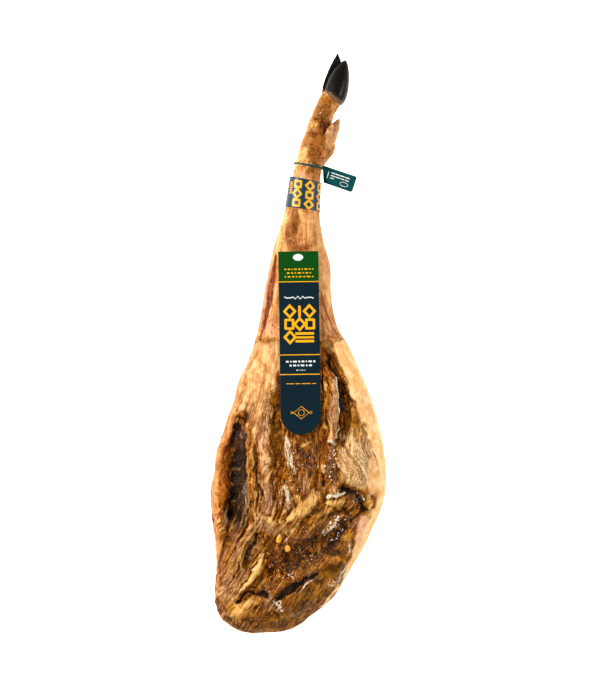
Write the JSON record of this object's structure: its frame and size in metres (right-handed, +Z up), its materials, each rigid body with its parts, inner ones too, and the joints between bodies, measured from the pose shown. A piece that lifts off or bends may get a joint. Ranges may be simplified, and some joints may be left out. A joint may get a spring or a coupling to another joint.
{
  "type": "cured ham",
  "caption": "Whole bone-in cured ham with its black-hoofed trotter, a paper sleeve, a plastic seal and a long card, lying with its trimmed face up.",
  "frame": {"origin": "centre of the part's box, on the surface that the ham lies on", "axes": "+Y along the leg from the rump to the hoof, +Z up out of the trimmed face, +X to the right of someone who looks down on it with the hoof away from them"},
  "size_m": [0.2546, 0.8394, 0.1295],
  "materials": {
    "cured_meat": "oily",
    "hoof_horn": "satin",
    "pale_horn": "waxy",
    "printed_sleeve": "gloss coated",
    "seal_plastic": "moulded",
    "printed_card": "coated"
  },
  "bodies": {
    "root": {"ham": "cured_meat", "claw_near": "hoof_horn", "claw_far": "hoof_horn", "dewclaw_near": "pale_horn", "dewclaw_far": "pale_horn", "shank_band": "printed_sleeve", "seal_tag": "seal_plastic", "long_label": "printed_card"}
  },
  "joints": []
}
